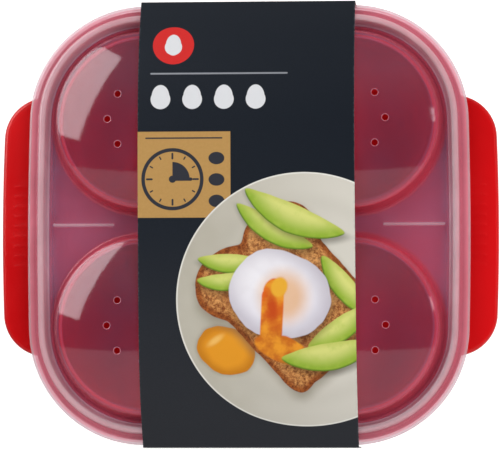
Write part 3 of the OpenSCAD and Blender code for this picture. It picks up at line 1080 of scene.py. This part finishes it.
def paint_plate(p):
    """A cream plate with a shallow well and a pale edge."""
    centre = (24.0, -33.0)
    depth = p.ellipse(centre, (53.2, 53.2))
    inside = p.mask(depth)
    cream = p.mix(p.step(p.x, -30, 48), srgb(178, 172, 157), srgb(212, 207, 196))
    p.paint(inside, p.dapple(cream, srgb(205, 201, 190), 0.05, 2, 0.3, 0.7, 0.3))
    well = p.step(p.ring(centre, 41.0, 3.0), -3.0, 3.0)
    p.shade(p.both(inside, well), 0.10, srgb(150, 144, 130))
    p.paint(p.both(inside, p.step(depth, 0.9, 0.2, 0, 0.75)), srgb(238, 236, 229))


def turned(centre, offset, angle):
    """A place given by an offset from a centre, in a frame turned by an angle in degrees."""
    c, s = math.cos(math.radians(angle)), math.sin(math.radians(angle))
    return centre[0] + c * offset[0] - s * offset[1], centre[1] + s * offset[0] + c * offset[1]


def bread_depth(p, centre, angle):
    """A slice of bread: straight sides, and two round shoulders at its top."""
    body = p.box(centre, (25.5, 30.0), angle, 6.0, 2.4)
    for side in (-1, 1):
        shoulder = turned(centre, (side * 13.5, 24.0), angle)
        round_top = p.ellipse(shoulder, (16.5, 14.0), angle, 2.4)
        body = p.math("SMOOTH_MAX", body, round_top, 5.0)
    return body


def toast(p, centre, angle):
    """Toasted bread with an uneven crumb, a dark crust and a shadow on the plate."""
    shadow = bread_depth(p, (centre[0] + 0.6, centre[1] - 2.4), angle)
    p.shade(p.step(shadow, -3.5, 3.0), 0.6, srgb(116, 104, 84))
    depth = bread_depth(p, centre, angle)
    crumb = p.noise(p.at, 0.7, 6, 0.75, 0.6)
    inputs = {"Vector": p.local(centre, angle), "Scale": 0.5}
    holes = p.node("ShaderNodeTexVoronoi", inputs, "Distance")
    brown = p.mix(p.step(crumb, 0.36, 0.66), srgb(128, 66, 28), srgb(222, 158, 92))
    brown = p.mix(p.step(holes, 0.40, 0.08, 0, 0.7), brown, srgb(98, 46, 20))
    brown = p.dapple(brown, srgb(226, 172, 108), 0.11, 3, 0.48, 0.72, 0.5)
    brown = p.dapple(brown, srgb(150, 74, 30), 0.09, 2, 0.5, 0.3, 0.55)
    crust = p.mix(p.step(crumb, 0.3, 0.7), srgb(92, 38, 14), srgb(172, 96, 42))
    p.paint(p.mask(depth, 0.4), p.mix(p.step(depth, 3.2, 1.2), brown, crust))


def arc_depth(p, middle, angle, half_length, sag):
    """Depth on the upper side of an arc that sags below its chord, or below one that rises."""
    radius = (half_length ** 2 + sag ** 2) / (2 * abs(sag))
    centre = turned(middle, (0, math.copysign(radius - abs(sag), sag)), angle)
    depth = p.ellipse(centre, (radius, radius), 0.0, 1.2)
    return depth if sag > 0 else p.math("MULTIPLY", depth, -1.0)


def avocado(p, middle, angle, half_length, sag, thickness):
    """A boat-shaped slice: pale flesh, greener towards its thin dark skin on the sagging side."""
    def slice_depth(at):
        skin_side = arc_depth(p, at, angle, half_length + 1.5, sag)
        far_side = arc_depth(p, at, angle, half_length + 1.5, sag - thickness)
        flesh_side = p.math("MULTIPLY", far_side, -1.0)
        return skin_side, flesh_side, p.math("SMOOTH_MIN", skin_side, flesh_side, 4.0)

    _, _, shadow = slice_depth((middle[0] + 0.8, middle[1] - 1.8))
    p.shade(p.step(shadow, -2.0, 1.6), 0.55, srgb(50, 40, 14))
    skin, inner, depth = slice_depth(middle)
    flesh = p.mix(p.step(skin, 0.5, thickness * 0.75), srgb(140, 172, 48), srgb(214, 216, 126))
    flesh = p.mix(p.step(inner, 2.6, 0.0, 0, 0.55), flesh, srgb(188, 192, 88))
    flesh = p.dapple(flesh, srgb(176, 194, 84), 0.25, 4, 0.42, 0.75, 0.5)
    flesh = p.mix(p.step(skin, 1.0, 0.0), flesh, srgb(84, 118, 30))
    p.paint(p.mask(depth, 0.4), flesh)


def poached_egg(p, centre):
    """A poached egg cut open, with its yolk running out."""
    cx, cy = centre
    white = p.ellipse(centre, (21.6, 18.4), -16, 5.0, 0.06)
    shadow = p.ellipse((cx + 0.8, cy - 2.6), (22, 18.6), -16, 5.0, 0.06)
    p.shade(p.step(shadow, -3.2, 3.0), 0.6, srgb(58, 36, 16))
    body = p.mix(p.step(white, 0.0, 9.0), srgb(196, 190, 200), srgb(232, 228, 236))
    lit = p.step(p.ellipse((cx - 5, cy + 6), (17, 12), -16), -6, 8)
    body = p.mix(p.math("MULTIPLY", lit, 0.7), body, srgb(243, 240, 243))
    body = p.dapple(body, srgb(214, 208, 214), 0.12, 3, 0.4, 0.7, 0.25)
    p.paint(p.mask(white, 0.5), body)
    warm = p.step(p.ellipse((cx + 2.0, cy - 1.0), (9.0, 9.5), 0, 2.0), -5, 4)
    p.paint(p.both(p.mask(white), p.math("MULTIPLY", warm, 0.75)), srgb(226, 168, 104))
    stream = p.either(p.ellipse((cx - 2.0, cy + 1.2), (4.4, 5.6), 0, 2.0),
                      p.capsule((cx - 2.6, cy - 1), (cx - 3.6, cy - 18), 4.6),
                      p.ellipse((cx + 1.0, cy - 22.5), (11.5, 5.4), -22, 4.0))
    run = p.mix(p.step(p.y, cy - 24, cy + 6), srgb(196, 104, 26), srgb(220, 96, 22))
    run = p.dapple(run, srgb(232, 152, 40), 0.2, 3, 0.35, 0.7)
    run = p.mix(p.step(p.ellipse((cx - 3.0, cy - 6), (2.6, 8), 0, 2.0), -1.2, 1.8, 0, 0.8), run,
                srgb(190, 62, 16))
    p.paint(p.mask(stream, 0.8), run)
    p.paint(p.mask(p.ellipse((cx + 0.2, cy + 3.2), (3.4, 4.2), -20, 1.5), 1.2), srgb(232, 170, 50))


def yolk_puddle(p, centre, radii):
    depth = p.ellipse(centre, radii, -18, 4.0, 0.07)
    p.shade(p.step(depth, -1.8, 1.0), 0.4, srgb(120, 96, 50))
    fill = p.mix(p.step(depth, 0.0, 4.5), srgb(196, 122, 22), srgb(226, 150, 34))
    shine = p.ellipse((centre[0] - 4.5, centre[1] + 4.2), (3.6, 1.3), 35)
    fill = p.mix(p.step(shine, -0.8, 1.0, 0, 0.55), fill, srgb(244, 206, 124))
    p.paint(p.mask(depth, 0.4), fill)


def printed_card():
    """Dark satin card with a plain heading, a timer panel and a picture of eggs on toast."""
    p = Print("printed_card")
    grain = p.noise(p.at, 2.2, 3)
    navy = p.mix(p.step(grain, 0.3, 0.7), srgb(16, 22, 30), srgb(21, 27, 36))
    # painted light: the card turns from navy to a paler charcoal towards the front flap, standing
    # in for the light its sloping front catches
    lit_front_charcoal = p.mix(p.step(grain, 0.3, 0.7), srgb(35, 37, 42), srgb(41, 43, 48))
    p.colour = p.mix(p.step(p.y, 10, -80), navy, lit_front_charcoal)
    paint_heading(p)
    paint_timer_panel(p)
    paint_plate(p)
    yolk_puddle(p, (-8.6, -53.5), (12.4, 9.8))
    toast(p, (20.0, -34.0), 42)
    for middle, angle, half_length, sag, thickness in (
            ((12.0, -1.5), -30, 18.0, 7.5, 9.5), ((20.5, 4.5), -24, 22.5, 10.0, 12.0),
            ((-7.0, -16.0), -2, 13.0, 5.5, 8.0), ((-8.0, -23.0), 6, 12.5, 6.0, 7.5),
            ((41.0, -26.5), -52, 15.0, 6.0, 9.5), ((38.5, -43.0), 34, 16.0, 6.5, 9.5)):
        avocado(p, middle, angle, half_length, sag, thickness)
    poached_egg(p, (13.4, -30.5))
    avocado(p, (33.5, -53.0), 10, 19.5, 9.0, 11.5)
    edge = p.step(p.math("ABSOLUTE", p.x), 44.3, 45.0, 0, 0.35)
    worn = p.math("MULTIPLY", edge, p.step(p.noise(p.at, 1.2, 4), 0.45, 0.65))
    p.paint(worn, srgb(120, 122, 128))
    rough = p.step(grain, 0.2, 0.8, 0.5, 0.6, smooth=False)
    relief = p.bump(p.noise(p.at, 3.0, 2), 0.08, 0.00004)
    return p.finish(p.shader("ShaderNodeBsdfPrincipled", Base_Color=p.colour, Roughness=rough,
                             Normal=relief, IOR=1.45, Specular_IOR_Level=0.2))


# ---- stage ----

def make_floor():
    """A plain white floor, lit a little from below like a light table."""
    reach = 6.0
    corners = [(reach * x, reach * y, 0) for x, y in ((-1, -1), (1, -1), (1, 1), (-1, 1))]
    mesh = bpy.data.meshes.new("floor")
    mesh.from_pydata(corners, [], [(0, 1, 2, 3)])
    g = material_graph("floor_paint")
    diffuse = g.shader("ShaderNodeBsdfDiffuse", Color=(0.64, 0.64, 0.64))
    glow = g.shader("ShaderNodeEmission", Color=(1.0, 1.0, 1.0), Strength=0.78)
    mesh.materials.append(g.finish(g.node("ShaderNodeAddShader", {0: diffuse, 1: glow})))
    floor = new_object("floor", mesh)
    floor.visible_diffuse = False


def panel(name, corner, along, across, radiance, mirrored=True, soft=True):
    """A rectangular light from one corner and its two edges, turned towards the object. Soft ones
    light what they face, and mirrored ones are seen in glossy faces."""
    along, across, corner = Vector(along), Vector(across), Vector(corner)
    across -= along * across.dot(along) / along.length_squared
    centre = corner + (along + across) / 2
    x, y = along.normalized(), across.normalized()
    z = x.cross(y)
    if z.dot(Vector(AIM) - centre) > 0:
        x, z = -x, -z
    light = bpy.data.lights.new(name, "AREA")
    light.shape = "RECTANGLE"
    light.size, light.size_y = along.length, across.length
    light.energy = radiance * math.pi * along.length * across.length
    made = bpy.data.objects.new(name, light)
    made.matrix_world = Matrix.Translation(centre) @ Matrix((x, y, z)).transposed().to_4x4()
    made.visible_camera = False
    made.visible_diffuse = soft
    made.visible_glossy = mirrored
    bpy.context.scene.collection.objects.link(made)


def facing_panel(name, centre, size, radiance, **seen):
    """A rectangular light that faces the object from a place."""
    away = (Vector(centre) - Vector(AIM)).normalized()
    side = Vector((0, 0, 1)).cross(away).normalized() * size[0]
    up = away.cross(side).normalized() * size[1]
    panel(name, Vector(centre) - side / 2 - up / 2, side, up, radiance, **seen)


def make_world():
    """Soft surroundings: pale towards the horizon and the back, and dim overhead."""
    world = bpy.data.worlds.new("studio")
    bpy.context.scene.world = world
    g = Graph(world)
    _, y, z = g.split(g.place("Generated"))
    strength = g.math("ADD", g.step(z, 0.0, 0.7, 0.22, 0.05), g.step(y, 0.08, 0.6, 0.0, 0.45))
    g.finish(g.shader("ShaderNodeBackground", Strength=strength), "ShaderNodeOutputWorld")


def make_camera():
    """Looks almost straight down, from a little to the front and to the right."""
    distance = 1.44
    data = bpy.data.cameras.new("camera")
    data.lens = 247
    data.sensor_width = 36
    data.clip_end = 20
    camera = bpy.data.objects.new("camera", data)
    back = Vector((math.tan(CAMERA_LEAN[0]), -math.tan(CAMERA_LEAN[1]), 1)).normalized()
    side = Vector((0, 1, 0)).cross(back).normalized()
    turn = Matrix((side, back.cross(side), back)).transposed().to_4x4()
    camera.matrix_world = Matrix.Translation(Vector(AIM) + back * distance) @ turn
    bpy.context.scene.collection.objects.link(camera)
    bpy.context.scene.camera = camera


def make_lights():
    """Broad lights and a light tent for the shapes, and three panels for the reflections."""
    broad = [("broad_left", (-0.9, 0.7, 1.5), (1.1, 1.1), 3.0),
             ("broad_front", (0.2, -1.1, 1.4), (1.0, 0.8), 2.1),
             ("broad_right", (1.0, 0.3, 1.5), (1.1, 1.1), 3.4)]
    broad += [(f"tent_{name}", (1.5 * x, 1.5 * y, 0.55), (1.8, 0.8), 1.0)
              for name, x, y in (("left", -1, 0), ("right", 1, 0), ("front", 0, -1),
                                 ("back", 0, 1))]
    for name, centre, size, radiance in broad:
        facing_panel(name, centre, size, radiance, mirrored=False)
    panel("key_softbox", (-0.1393, 0.2663, 0.2949), (-0.2291, -0.2648, 0.121),
          (-0.2166, 0.08719, -0.2181), 5.6, soft=False)
    panel("front_softbox", (-0.7, -0.126, 0.42), (1.4, 0, 0), (0, -0.5, -0.28), 0.8, soft=False)
    facing_panel("right_strip", (0.62, 0.15, 0.642), (0.10, 0.03), 5.0, soft=False)


make_camera()
make_world()
make_floor()
make_lights()
make_base()
make_tray()
make_lid()
make_sleeve()

scene = bpy.context.scene
scene.view_settings.view_transform = "Standard"
scene.cycles.transparent_max_bounces = 32
